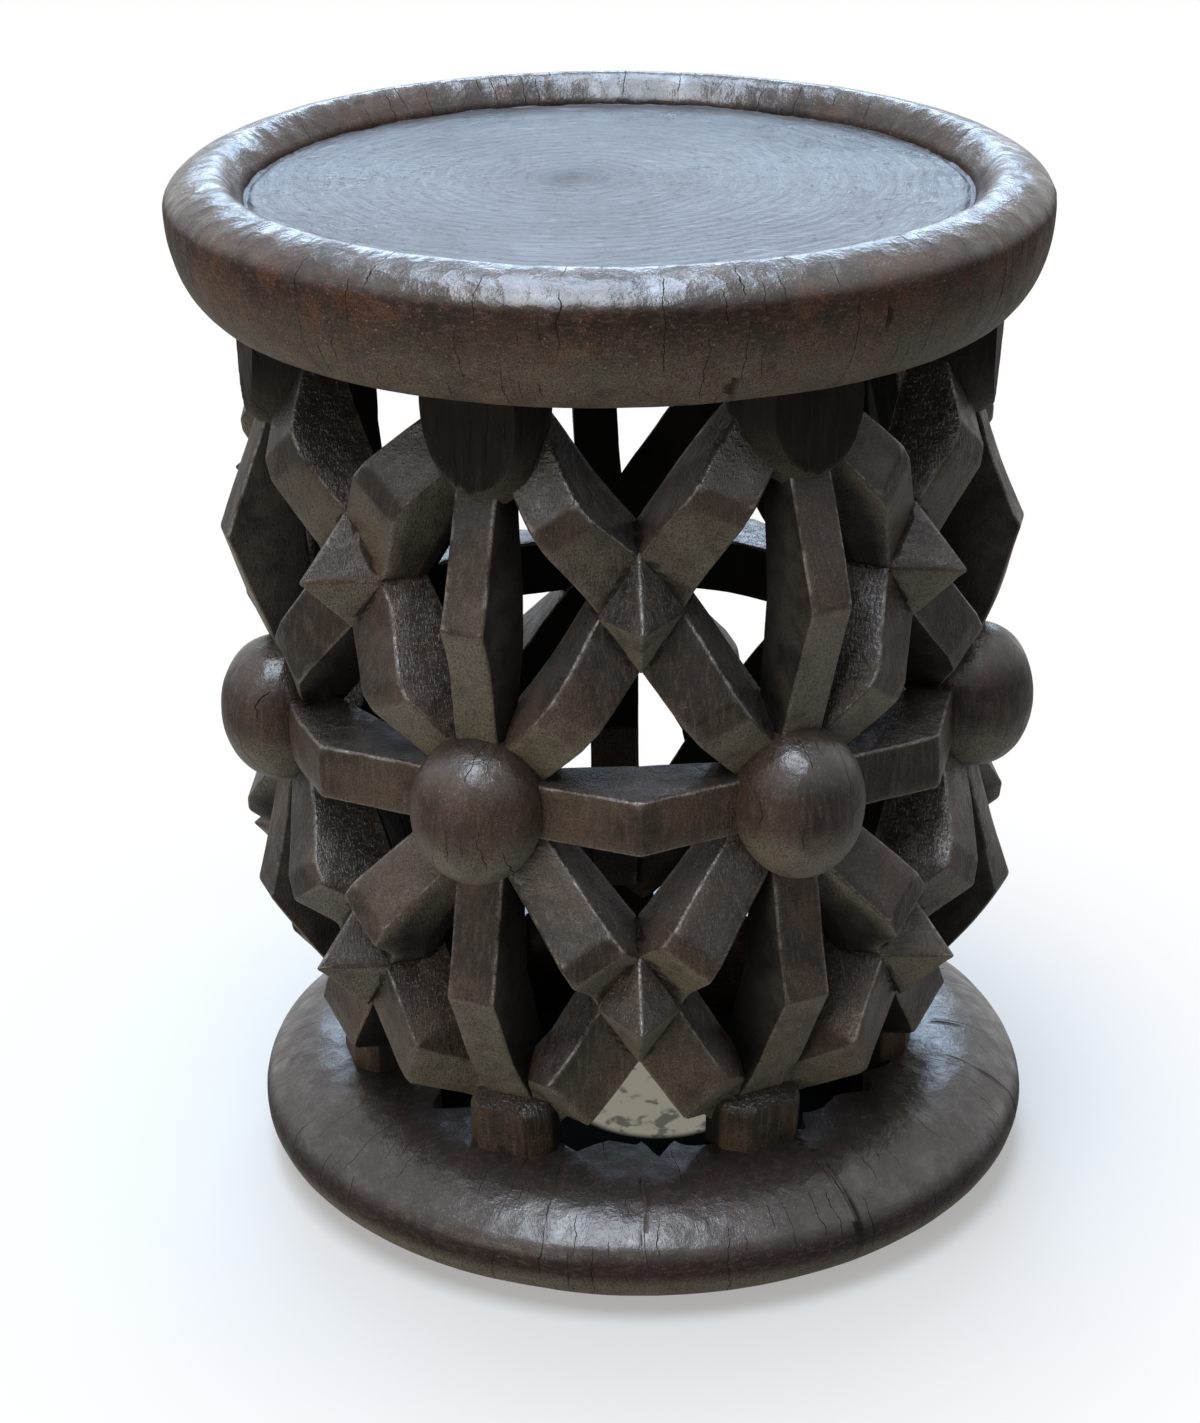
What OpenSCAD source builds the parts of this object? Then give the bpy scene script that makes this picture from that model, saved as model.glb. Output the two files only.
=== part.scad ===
/* [Seat] */
// Outer radius of the seat, measured at the widest line of its rim
seat_r = 200; // [185:1:215]
// Overall height of the stool, floor to the crest of the rim
stool_h = 496; // [470:1:530]
// Width of the rounded rim from its crest out to the widest line
rim_w = 26.5; // [22:0.5:30]
// Height of the crest above the widest line of the rim
rim_crest_h = 16; // [12:0.5:22]
// Depth of the rim's flank below its widest line
rim_flank_h = 44; // [36:0.5:52]
// Radius of the dished floor that is sat on
dish_r = 164; // [154:0.5:167]
// Depth of the dish below the crest of the rim
dish_depth = 13; // [9:0.5:18]
// Thickness of the seat's floor
floor_t = 33; // [26:1:38]
// Radius of the hollow under the seat's floor
underseat_r = 128; // [120:1:132]

/* [Base ring] */
// Outer radius of the base ring at its widest line
base_r = 189.5; // [180:0.5:200]
// Height of the base ring at its highest line
base_h = 56.5; // [50:0.5:62]
// Radius of the hole through the base ring
base_bore_r = 120; // [114:0.5:124]
// Height of the widest line of the base ring
base_belly_h = 28; // [25:0.5:32]
// Radius of the rounding at the widest line of the base ring
base_belly_r = 18.5; // [16:0.5:22]
// Angle below its widest line at which that rounding runs into the slanted flank, in degrees
base_flank_a = 56; // [50:1:64]
// Radius of the domed top of the base ring, seen in section
base_crown_r = 55; // [48:1:64]
// Distance from the axis to the middle of that dome
base_crown_at = 145; // [142:0.5:148]
// Outer radius of the flat face that stands on the floor
foot_r = 163; // [158:0.5:166]

/* [Lattice layout] */
// Number of carved columns round the drum
columns = 7; // [6:1:7]
// Turn of the whole lattice about its axis, in degrees
lattice_turn = 2.7; // [0:0.1:10]
// Sideways distance from the middle of the base to the middle of the lattice drum
drum_shift = 8.5; // [0:0.5:12]
// Sideways distance from the middle of the base to the middle of the seat
seat_shift = 14; // [0:0.5:18]
// Radius at which bars cross and meet in the upper three rows
hub_r = 150; // [147:0.5:153]
// Radius at which bars meet in the lowest row, on the base ring
foot_hub_r = 130; // [126:0.5:134]
// Distance that the lowest row's centres lie below the top of the base ring
foot_hub_drop = 2.5; // [0:0.5:5]
// Radius of the hollow inside the drum
hollow_r = 134; // [130:0.5:136]

/* [Bosses] */
// Half width of an egg-shaped boss
boss_rw = 29.5; // [27:0.5:32]
// Half height of an egg-shaped boss
boss_rh = 35.5; // [33:0.5:39]
// Radius that the outermost point of a boss reaches
boss_tip_r = 192; // [188:0.5:195]
// Half width of a boss under the seat
upper_boss_rw = 28; // [26:0.5:31]
// Half height of a boss under the seat
upper_boss_rh = 40; // [36:0.5:44]
// Radius of the middle of a boss under the seat
upper_boss_at = 152; // [149:0.5:155]
// Distance that the middle of such a boss lies below the underside of the seat
upper_boss_drop = 6; // [2:0.5:9]
// Radius to which its front is cut flat
upper_boss_face_r = 173; // [169:0.5:177]
// Width of a faceted block on the base ring
block_w = 42; // [38:1:48]
// Width of a block across its top
block_top_w = 34; // [28:1:38]
// Height of a block above the top of the base ring
block_h = 28; // [24:0.5:31]
// Height of a block's slanted shoulders
block_shoulder = 9; // [6:0.5:14]
// Radius of a block's front face
block_face_r = 141; // [137:0.5:145]
// Radius of a block's back face
block_back_r = 117.5; // [115:0.5:119]
// Depth of the bevel along a block's upper front edge
block_bevel = 12; // [6:0.5:14]
// Height of that bevel
block_bevel_h = 5; // [3:0.5:8]

/* [Posts] */
// Width of a post
post_w = 20; // [16:0.5:24]
// Distance from a hub's centre at which a post or a waist bar starts
bar_inset = 12; // [9:0.5:15]
// Radius of the knee of an upper post
upper_knee_r = 187; // [180:0.5:190]
// Radius of an upper post's front at its two ends
upper_end_r = 157; // [154:0.5:160]
// Radius of an upper post's back at its knee
upper_knee_back_r = 150; // [144:0.5:154]
// Radius of the knee of a lower post
lower_knee_r = 175; // [168:0.5:182]
// Distance from a middle boss's centre down to the knee of a lower post
lower_knee_drop = 91; // [84:1:96]
// Radius of a lower post's back at its knee
lower_knee_back_r = 140; // [138:0.5:145]
// Radius of a post's back at a boss
post_back_r = 143; // [140:0.5:146]
// Radius of a lower post's front where it enters its block
lower_foot_r = 122; // [120:0.5:126]
// Radius of a lower post's back where it enters its block
lower_foot_back_r = 108; // [105:0.5:112]
// Distance above the lowest row's centres at which a lower post ends
post_foot_inset = 20; // [17:0.5:23]

/* [Waist bars] */
// Height of a waist bar
waist_h = 26; // [22:0.5:30]
// Radius of the knee of a waist bar
waist_knee_r = 175; // [170:0.5:180]
// Radius of a waist bar's front at its two ends
waist_end_r = 160; // [156:0.5:163]
// Radius of a waist bar's back at its two ends
waist_end_back_r = 146; // [143:0.5:149]
// Radius of a waist bar's back at its middle
waist_mid_back_r = 139; // [137:0.5:143]

/* [Crossed arms] */
// Width of an arm where four of them cross
arm_w = 31; // [28:0.5:34]
// Width of an arm where it meets a boss
arm_end_w = 24; // [21:0.5:27]
// Distance from a hub's centre at which an arm ends
arm_inset = 18; // [16:0.5:20]
// Distance by which the bar that leans right is left prouder than the one it crosses
cross_step = 0.5; // [0.3:0.1:1]
// Distance along an arm from its crossing to the valley beside the pyramid
valley_at = 16; // [14:0.5:18]
// Radius of an arm's front in that valley
valley_r = 159; // [156:0.5:162]
// Distance along an arm from its crossing to its knee
knee_at = 55; // [50:0.5:60]
// Radius of an arm's knee
knee_r = 172; // [168:0.5:176]
// Distance to the knee of the arms that rise from a lower crossing
low_knee_at = 36; // [32:0.5:40]
// Radius of the knee of the arms that rise from a lower crossing
low_knee_r = 177; // [172:0.5:180]
// Distance to the knee of the arms that end at the base ring
foot_knee_at = 48; // [44:0.5:52]
// Radius of the knee of the arms that end at the base ring
foot_knee_r = 160; // [156:0.5:164]
// Distance at which such an arm has dropped behind the bevel of its block
foot_neck_at = 80; // [76:0.5:84]
// Radius of its front there
foot_neck_r = 130; // [127:0.5:133]
// Radius of an arm's front where it meets a boss
arm_end_r = 152; // [149:0.5:155]
// Radius of an arm's back along its length
arm_back_r = 138.5; // [137:0.5:141]
// Radius of an arm's back where it meets a boss
arm_end_back_r = 142; // [140:0.5:145]
// Radius of an arm's front where it meets a block
foot_arm_end_r = 126; // [124:0.5:129]
// Radius of the back of such an arm from its crossing to its knee
foot_knee_back_r = 129; // [127:0.5:132]
// Radius of an arm's back where it meets a block
foot_arm_back_r = 114; // [111:0.5:117]

/* [Pyramids] */
// Radius that the peak of a pyramid reaches
peak_r = 186; // [180:0.5:190]
// Width of a pyramid between two of its opposite sides
pyramid_w = 33; // [30:0.5:36]
// Radius at which a pyramid is widest
pyramid_base_r = 159; // [156:0.5:161]
// Radius of the flat at the back of a pyramid
pyramid_back_r = 138; // [137:0.5:142]
// Width of that flat
pyramid_back_w = 16; // [12:0.5:20]

/* [Hidden] */
wood = "#3a2a24";
wood_worn = "#4b362c";
wood_polished = "#4a4542";
$fn = 96;

widest_z = stool_h - rim_crest_h;
underside_z = widest_z - rim_flank_h;
dish_z = stool_h - dish_depth;
crest_r = seat_r - rim_w;
floor_bottom_z = dish_z - floor_t;

lowest_z = base_h - foot_hub_drop;
block_root_z = lowest_z / 2;
row_step = (underside_z - lowest_z) / 4;
upper_cross_z = underside_z - row_step;
waist_z = underside_z - 2 * row_step;
lower_cross_z = underside_z - 3 * row_step;

pitch = 360 / columns;
long = 2 * seat_r;

// The seat and the base share the sideways shift so that the whole stool is centred on the origin
base_x = (seat_r - base_r + seat_shift) / 2;
seat_x = base_x - seat_shift;
drum_x = base_x - drum_shift;

function column_angle(i) = lattice_turn + (i - 0.5) * pitch;
function gap_angle(i) = lattice_turn + i * pitch;
function next(i) = i % columns + 1;

function outward(a) = [sin(a), -cos(a), 0];
function at(r, a, z) = [drum_x, 0, z] + r * outward(a);
function upper_hub(i) = at(hub_r, column_angle(i), underside_z);
function waist_hub(i) = at(hub_r, column_angle(i), waist_z);
function foot_hub(i) = at(foot_hub_r, column_angle(i), lowest_z);
function unit(v) = v / norm(v);

// Distance from the drum's axis to the point at distance s along the line from p to q
function line_point(p, q, s) = p + s * unit(q - p);
function axis_distance(m) = norm([m.x - drum_x, m.y]);
function profile(p, q, pts) = [for (k = pts) [k.x, k.y - axis_distance(line_point(p, q, k.x))]];

// Places a shape so that its x axis runs from p to q and its y axis points outward
module along(p, q, a) {
    u = unit(q - p);
    n = unit(outward(a) - (outward(a) * u) * u);
    s = cross(u, n);
    multmatrix([
        [u.x, n.x, s.x, p.x],
        [u.y, n.y, s.y, p.y],
        [u.z, n.z, s.z, p.z],
        [0, 0, 0, 1]
    ]) children();
}

// Places a shape so that x runs round the drum, y runs up and z points outward from the axis
module facing(a, z) {
    translate([drum_x, 0, z]) rotate([90, 0, a]) children();
}

// The region on one side of a profile: its two ends run on to the given height
module beside(pts, y) {
    first = pts[0].x;
    last = pts[len(pts) - 1].x;
    polygon(concat(pts, [[last, y], [first, y]]));
}

// A straight bar from p to q: the wood left under its front and above its back
module bar(p, q, a, w, front, back) {
    along(p, q, a)
        linear_extrude(height = w, center = true)
            intersection() {
                beside(profile(p, q, front), -seat_r);
                beside(profile(p, q, back), seat_r);
            }
}

// An arm: a bar that narrows from the crossing at p to its far end
module arm(p, q, a, front, back) {
    reach = back[len(back) - 1].x;
    intersection() {
        bar(p, q, a, long, front, back);
        along(p, q, a)
            rotate([90, 0, 0])
                linear_extrude(height = long, center = true)
                    polygon([
                        [0, -arm_w / 2],
                        [reach, -arm_end_w / 2],
                        [reach, arm_end_w / 2],
                        [0, arm_w / 2]
                    ]);
    }
}

// The four-sided pyramid at a crossing, pointed outward and drawn in again at the back
module pyramid(a, z) {
    slant = atan2(hub_r * sin(pitch / 2), row_step);
    facing(a, z)
        intersection_for(turn = [-slant, slant])
            rotate([90, 0, turn])
                linear_extrude(height = long, center = true)
                    polygon([
                        [0, peak_r],
                        [pyramid_w / 2, pyramid_base_r],
                        [pyramid_back_w / 2, pyramid_back_r],
                        [-pyramid_back_w / 2, pyramid_back_r],
                        [-pyramid_w / 2, pyramid_base_r]
                    ]);
}

// An egg of half width rw and half height rh, hollowed at the back with the rest of the drum
module egg(i, r, z, rw, rh) {
    difference() {
        translate(at(r, column_angle(i), z))
            rotate_extrude()
                intersection() {
                    scale([rw, rh]) circle(r = 1);
                    translate([0, -rh]) square([rw, 2 * rh]);
                }
        translate([drum_x, 0, 0]) cylinder(h = stool_h, r = hollow_r);
    }
}

module seat_rim() {
    color(wood)
        translate([seat_x, 0, 0])
            rotate_extrude()
                difference() {
                    union() {
                        intersection() {
                            translate([crest_r, widest_z]) scale([rim_w, rim_crest_h]) circle(r = 1);
                            translate([crest_r, widest_z]) square([rim_w, rim_crest_h]);
                        }
                        intersection() {
                            translate([crest_r, widest_z]) scale([rim_w, rim_flank_h]) circle(r = 1);
                            translate([crest_r, underside_z]) square([rim_w, rim_flank_h]);
                        }
                        intersection() {
                            translate([crest_r, dish_z]) scale([crest_r - dish_r, dish_depth]) circle(r = 1);
                            translate([dish_r, dish_z]) square([crest_r - dish_r, dish_depth]);
                        }
                        translate([underseat_r, underside_z])
                            square([crest_r - underseat_r, dish_z - underside_z]);
                    }
                    translate([0, floor_bottom_z]) square([dish_r, dish_depth + floor_t]);
                }
}

module seat_floor() {
    color(wood_polished)
        translate([seat_x, 0, floor_bottom_z]) cylinder(h = floor_t, r = dish_r);
}

module base_ring() {
    belly_at = base_r - base_belly_r;
    flank_x = belly_at + base_belly_r * cos(base_flank_a);
    flank_z = base_belly_h - base_belly_r * sin(base_flank_a);
    color(wood_worn)
        translate([base_x, 0, 0])
            rotate_extrude()
                intersection() {
                    union() {
                        translate([belly_at, base_belly_h]) circle(r = base_belly_r);
                        polygon([
                            [base_bore_r, 0],
                            [foot_r, 0],
                            [flank_x, flank_z],
                            [flank_x, base_h],
                            [base_bore_r, base_h]
                        ]);
                    }
                    translate([base_crown_at, base_h - base_crown_r]) circle(r = base_crown_r);
                    translate([base_bore_r, 0]) square([base_r - base_bore_r, base_h]);
                }
}

module upper_boss(i) {
    color(wood)
        difference() {
            intersection() {
                egg(i, upper_boss_at, underside_z - upper_boss_drop, upper_boss_rw, upper_boss_rh);
                translate([drum_x, 0, 0]) cylinder(h = stool_h, r = upper_boss_face_r);
            }
            seat_rim();
            seat_floor();
        }
}

module middle_boss(i) {
    color(wood_worn) egg(i, boss_tip_r - boss_rw, waist_z, boss_rw, boss_rh);
}

// A faceted block before it is seated on the base ring
module block(i) {
    half = block_w / 2;
    half_top = block_top_w / 2;
    top_y = base_h + block_h;
    facing(column_angle(i), 0)
        intersection() {
            linear_extrude(height = block_face_r)
                polygon([
                    [-half, block_root_z],
                    [half, block_root_z],
                    [half, top_y - block_shoulder],
                    [half_top, top_y],
                    [-half_top, top_y],
                    [-half, top_y - block_shoulder]
                ]);
            rotate([0, -90, 0])
                linear_extrude(height = long, center = true)
                    polygon([
                        [block_back_r, block_root_z],
                        [block_face_r, block_root_z],
                        [block_face_r, top_y - block_bevel_h],
                        [block_face_r - block_bevel, top_y],
                        [block_back_r, top_y]
                    ]);
        }
}

module lower_boss(i) {
    color(wood)
        difference() {
            block(i);
            base_ring();
        }
}

// The bars below run on to the hubs, and each sub-part is cut where a boss or a block takes over
module upper_post_bar(i) {
    p = upper_hub(i);
    q = waist_hub(i);
    length = norm(q - p);
    bar(p, q, column_angle(i), post_w,
        [[bar_inset, upper_end_r], [length / 2, upper_knee_r], [length - bar_inset, upper_end_r]],
        [[bar_inset, post_back_r], [length / 2, upper_knee_back_r], [length - bar_inset, post_back_r]]);
}

module lower_post_bar(i) {
    p = waist_hub(i);
    q = foot_hub(i);
    foot = norm(q - p) - post_foot_inset;
    bar(p, q, column_angle(i), post_w,
        [[bar_inset, upper_end_r], [lower_knee_drop, lower_knee_r], [foot, lower_foot_r]],
        [[bar_inset, post_back_r], [lower_knee_drop, lower_knee_back_r], [foot, lower_foot_back_r]]);
}

module whole_waist_bar(i) {
    p = waist_hub(i);
    q = waist_hub(next(i));
    length = norm(q - p);
    bar(p, q, gap_angle(i), waist_h,
        [[bar_inset, waist_end_r], [length / 2, waist_knee_r], [length - bar_inset, waist_end_r]],
        [[bar_inset, waist_end_back_r], [length / 2, waist_mid_back_r], [length - bar_inset, waist_end_back_r]]);
}

module upper_post(i) {
    color(wood)
        difference() {
            upper_post_bar(i);
            upper_boss(i);
            middle_boss(i);
        }
}

module lower_post(i) {
    color(wood)
        difference() {
            lower_post_bar(i);
            middle_boss(i);
            block(i);
        }
}

module waist_bar(i) {
    color(wood_worn)
        difference() {
            whole_waist_bar(i);
            middle_boss(i);
            middle_boss(next(i));
        }
}

// One arm of a crossing, from p to the hub q: its front runs from the valley through the given cuts
module crossing_arm(p, q, a, proud, cuts, end_r, back_r, end_back_r) {
    reach = norm(q - p) - arm_inset;
    front = concat([[0, valley_r], [valley_at, valley_r]], cuts, [[reach, end_r]]);
    arm(p, q, a,
        [for (k = front) [k.x, k.y + proud]],
        [[0, back_r], [cuts[0].x, back_r], [reach, end_back_r]]);
}

// The arms of an upper crossing all end at bosses
module boss_arm(p, q, a, proud) {
    crossing_arm(p, q, a, proud, [[knee_at, knee_r]], arm_end_r, arm_back_r, arm_end_back_r);
}

module upper_cross(i) {
    a = gap_angle(i);
    p = at(hub_r, a, upper_cross_z);
    leaning_left = [upper_hub(i), waist_hub(next(i))];
    leaning_right = [upper_hub(next(i)), waist_hub(i)];
    color(wood)
        difference() {
            union() {
                for (q = leaning_left) boss_arm(p, q, a, 0);
                for (q = leaning_right) boss_arm(p, q, a, cross_step);
                pyramid(a, upper_cross_z);
            }
            for (k = [i, next(i)]) {
                upper_boss(k);
                middle_boss(k);
                upper_post_bar(k);
            }
            whole_waist_bar(i);
        }
}

// The two arms that rise from a lower crossing, and the two that drop to the base ring
module rising_arm(p, q, a, proud) {
    crossing_arm(p, q, a, proud, [[low_knee_at, low_knee_r]], arm_end_r, arm_back_r, arm_end_back_r);
}

module dropping_arm(p, q, a, proud) {
    cuts = [[foot_knee_at, foot_knee_r], [foot_neck_at, foot_neck_r]];
    crossing_arm(p, q, a, proud, cuts, foot_arm_end_r, foot_knee_back_r, foot_arm_back_r);
}

module lower_cross(i) {
    a = gap_angle(i);
    p = at(hub_r, a, lower_cross_z);
    color(wood)
        difference() {
            union() {
                rising_arm(p, waist_hub(i), a, 0);
                dropping_arm(p, foot_hub(next(i)), a, 0);
                rising_arm(p, waist_hub(next(i)), a, cross_step);
                dropping_arm(p, foot_hub(i), a, cross_step);
                pyramid(a, lower_cross_z);
            }
            for (k = [i, next(i)]) {
                middle_boss(k);
                block(k);
                lower_post_bar(k);
            }
            whole_waist_bar(i);
            base_ring();
        }
}

seat_rim();
seat_floor();
base_ring();
for (i = [1 : columns]) {
    upper_boss(i);
    middle_boss(i);
    lower_boss(i);
    upper_post(i);
    lower_post(i);
    waist_bar(i);
    upper_cross(i);
    lower_cross(i);
}
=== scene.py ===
import math
import random

import bpy
import numpy as np
from mathutils import Matrix, Vector, noise


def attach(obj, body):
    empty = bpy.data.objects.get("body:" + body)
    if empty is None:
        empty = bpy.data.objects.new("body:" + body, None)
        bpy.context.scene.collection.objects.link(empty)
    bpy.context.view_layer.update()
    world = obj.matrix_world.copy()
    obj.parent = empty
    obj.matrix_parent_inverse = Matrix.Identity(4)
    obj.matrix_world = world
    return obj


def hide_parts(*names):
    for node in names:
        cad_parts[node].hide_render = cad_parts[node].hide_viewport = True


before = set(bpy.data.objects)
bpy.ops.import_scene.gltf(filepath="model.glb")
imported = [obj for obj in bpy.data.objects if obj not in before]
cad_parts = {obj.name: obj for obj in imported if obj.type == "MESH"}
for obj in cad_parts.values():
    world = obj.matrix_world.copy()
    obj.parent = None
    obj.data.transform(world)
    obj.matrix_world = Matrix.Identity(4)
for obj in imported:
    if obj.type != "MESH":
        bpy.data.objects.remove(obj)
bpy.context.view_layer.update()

# Lengths below are in millimetres, as in the CAD source, and angles are in degrees
MM = 0.001

# Seat
seat_r = 200
stool_h = 496
rim_w = 26.5
rim_crest_h = 16
rim_crest_turn = 80
rim_flank_h = 44
dish_r = 164
dish_depth = 13
floor_t = 33
underseat_r = 128
groove_inset = 1.6
groove_half_w = 1.5
groove_depth = 1.5

# Base ring
base_r = 189.5
base_h = 56.5
base_bore_r = 120
base_belly_h = 28
base_belly_r = 18.5
base_flank_a = 56
base_crown_r = 55
base_crown_at = 145
foot_r = 163

# Lattice layout
columns = 7
lattice_turn = 2.7
drum_shift = 8.5
seat_shift = 14
hub_r = 150
foot_hub_r = 130
foot_hub_drop = 2.5
hollow_r = 134

# Bosses
boss_rw = 29.5
boss_rh = 35.5
boss_tip_r = 192
upper_boss_rw = 28
upper_boss_rh = 40
upper_boss_at = 152
upper_boss_drop = 6
upper_boss_face_r = 173
block_w = 42
block_top_w = 34
block_h = 28
block_shoulder = 9
block_face_r = 141
block_back_r = 117.5
block_bevel = 12
block_bevel_h = 5

# Posts
post_w = 20
bar_inset = 12
upper_knee_r = 187
upper_end_r = 157
upper_knee_back_r = 150
lower_knee_r = 175
lower_knee_drop = 91
lower_knee_back_r = 140
post_back_r = 143
lower_foot_r = 126
lower_foot_back_r = 108
post_foot_inset = 20

# Waist bars
waist_h = 26
waist_knee_r = 175
waist_end_r = 160
waist_end_back_r = 146
waist_mid_back_r = 139

# Crossed arms
arm_w = 31
arm_end_w = 24
arm_inset = 18
cross_step = 0.5
valley_at = 16
valley_r = 159
knee_at = 55
knee_r = 172
low_knee_at = 36
low_knee_r = 177
foot_knee_at = 48
foot_knee_r = 160
foot_neck_at = 80
foot_neck_r = 130
arm_end_r = 152
arm_back_r = 138.5
arm_end_back_r = 142
foot_arm_end_r = 126
foot_knee_back_r = 129
foot_arm_back_r = 114

# Pyramids
peak_r = 186
pyramid_w = 33
pyramid_base_r = 159
pyramid_back_r = 138
pyramid_back_w = 16
pyramid_tip_w = 1.4

# Places worked out from those sizes
widest_z = stool_h - rim_crest_h
underside_z = widest_z - rim_flank_h
dish_z = stool_h - dish_depth
crest_r = seat_r - rim_w
floor_bottom_z = dish_z - floor_t
lowest_z = base_h - foot_hub_drop
row_step = (underside_z - lowest_z) / 4
upper_cross_z = underside_z - row_step
waist_z = underside_z - 2 * row_step
lower_cross_z = underside_z - 3 * row_step
pitch = 360 / columns
base_x = (seat_r - base_r + seat_shift) / 2
seat_x = base_x - seat_shift
drum_x = base_x - drum_shift

# How the knife left the wood
edge_round = 1.4
knee_round = 1.3
sharp_angle = 38
arm_flare = 5.5
post_flare = 1.5
flare_loss = 0.75
facet_w = 11
facet_before_knee = 0.45
facet_after_knee = 0.55
facet_start_sink = 0.4
facet_end_sink = 0.9
arm_run_in = 8
arm_end_sink = 1
arm_overlap = 0.4
most_narrowing = 1.15
foot_skew = 0.45
low_post_extra_w = 3
block_chamfer = 9
half_boss_flat = 0.78
half_boss_bevel = 12
hollow_softness = 0.7
notch_count = 34
notch_depth = 15
notch_drop = 20
notch_wander = 0.8
notch_evenness = 0.6

# The seed of the random draws and of noise_vector, which would give another shape each run
seed = 11

# How far no two bars are alike: each knee along the bar and outward, an arm's width and its slant
arm_stray = (2.0, 0.7)
post_stray = (3.0, 0.5)
width_stray = 0.6
skew_stray = 0.16

# Drying cracks: length, share of the full depth, half width, and wander as a share of a step round
shortest_crack = 6
longest_crack_share = 0.8
crack_depth_shares = (0.3, 1.0)
crack_half_widths = (0.22, 0.4)
crack_wander = 0.55

# Each wave is (wavelength, amplitude): slow wander of the hand, knife facets, torn fibre
hand_waves = [(110.0, 1.1), (34.0, 0.45), (11.0, 0.16), (4.5, 0.05)]
wave_offsets = (13.7, 5.1, 9.3)
ring_wave_share = 0.7

# Where the real stool departs from even spacing: (turn, height, shift to the right, shift up, reach)
departure_r = hub_r + 15
departures = [
    (-23, 432, 6.0, -4.5, 34),
    (-8, 400, -2.0, -8.0, 24),
    (12, 398, 0.0, 0.5, 24),
    (234, 395, -11.0, 0.0, 45),
    (238, 300, -6.0, 0.0, 35),
    (183, 300, -6.0, 0.0, 30),
    (160, 245, 0.0, 8.0, 34),
    (208, 245, 0.0, 4.0, 34),
    (-23, 341, 7.5, -6.5, 34),
    (-23, 92, -6.0, 0.0, 24),
    (28, 92, 5.0, 0.0, 22),
    (-62, 245, -9.0, 0.0, 22),
    (28, 70, 3.5, 0.0, 25),
    (-78, 378, -3.0, -8.0, 50),
    (82, 385, -2.0, -8.0, 50),
    (-84, 295, -5.0, 0.0, 26),
    (84, 295, 6.0, 0.0, 26),
    (84, 190, 7.0, 0.0, 45),
    (88, 122, 14.0, 0.0, 32),
    (80, 245, 0.0, 4.0, 34),
    (-75, 245, 0.0, 4.0, 34),
    (-84, 190, -5.0, 0.0, 40),
    (-84, 125, -6.0, 0.0, 26),
    (-80, 100, 3.0, 0.0, 30),
    (183, 390, -11.0, 0.0, 50),
]

# How fine the meshes are
ring_steps = 300
dish_steps = 320
egg_steps = 72
egg_rows = 44
egg_pole = 0.985
arc_step = 2.2
bar_step = 3.5
block_step = 2.5
pyramid_steps = 12
knee_stations = (-1.6, -0.8, 0, 0.8, 1.6)
knee_clearance = 2.2
cap_shrinks = (0.75, 0.5, 0.25)

# The dish's growth rings
pith_x = -8
pith_y = 25
ring_step = 6.8

# The wood's noises, in features per metre, and the depths of its relief, in metres
fibre_scale = 520.0
mottle_scale = 70.0
lump_scale = 400.0
grain_scale = 1300.0
cut_scale = 95.0
fibre_depth = 0.00014
mottle_depth = 0.0006
lump_depth = 0.00022
cut_depth = 0.0007
hatch_depth = 0.0006
crack_depth = 0.0004

# Hairline cracks round the log, how glossy the wax is, and the fibre's squeeze in a turned ring
crack_lines = 150
coat_ior = 1.85
round_the_log = (0.45, 0.45, 1.3)

# The floor inside the ring, painted dark as shadow, its glowing painted sunlit patch, and how far the
# object's shadow reaches
inside_r = base_bore_r + 8
patch_x = 20
patch_y = 25
patch_r = 46
shadow_full_r = 150
shadow_end_r = 450
shadow_white = 0.35

# The world's light on the object, where a strength of 1 is the white that the camera sees
world_light = 0.13


# Places on the stool
def column_angle(i):
    return lattice_turn + (i - 0.5) * pitch


def gap_angle(i):
    return lattice_turn + i * pitch


def next_column(i):
    return i % columns + 1


def outward(a):
    return np.array([math.sin(math.radians(a)), -math.cos(math.radians(a)), 0.0])


def at(r, a, z):
    return np.array([drum_x, 0.0, z]) + r * outward(a)


def on_drum(points, a, z):
    """From (round the drum, up, outward from the axis) to the stool's own frame."""
    across = np.array([math.cos(math.radians(a)), math.sin(math.radians(a)), 0.0])
    up = np.array([0.0, 0.0, 1.0])
    middle = np.array([drum_x, 0.0, z])
    return middle + points[:, :1] * across + points[:, 1:2] * up + points[:, 2:] * outward(a)


def unit(v):
    return v / np.linalg.norm(v)


# Meshes are pairs of an array of points and a list of faces
def ring_faces(rings, per_ring, closed=False):
    faces = []
    for k in range(rings if closed else rings - 1):
        here = k * per_ring
        there = (k + 1) % rings * per_ring
        for j in range(per_ring):
            after = (j + 1) % per_ring
            faces.append((here + j, here + after, there + after, there + j))
    return faces


def turned_outward(points, faces):
    """The same closed skin with all its faces looking outward."""
    volume = 0.0
    for face in faces:
        a, b, c = points[face[0]], points[face[1]], points[face[2]]
        volume += np.dot(a, np.cross(b, c))
        if len(face) > 3:
            volume += np.dot(a, np.cross(c, points[face[3]]))
    return points, faces if volume > 0 else [face[::-1] for face in faces]


def loft(rings):
    """A closed skin over a row of rings that all have the same number of points."""
    count, per_ring = len(rings), len(rings[0])
    faces = ring_faces(count, per_ring)
    faces.append(tuple(range(per_ring - 1, -1, -1)))
    faces.append(tuple((count - 1) * per_ring + j for j in range(per_ring)))
    return turned_outward(np.concatenate(rings), faces)


def mesh_object(name, points, faces):
    mesh = bpy.data.meshes.new(name)
    mesh.from_pydata([tuple(p) for p in points], [], faces)
    mesh.update()
    made = bpy.data.objects.new(name, mesh)
    bpy.context.scene.collection.objects.link(made)
    return made


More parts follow.
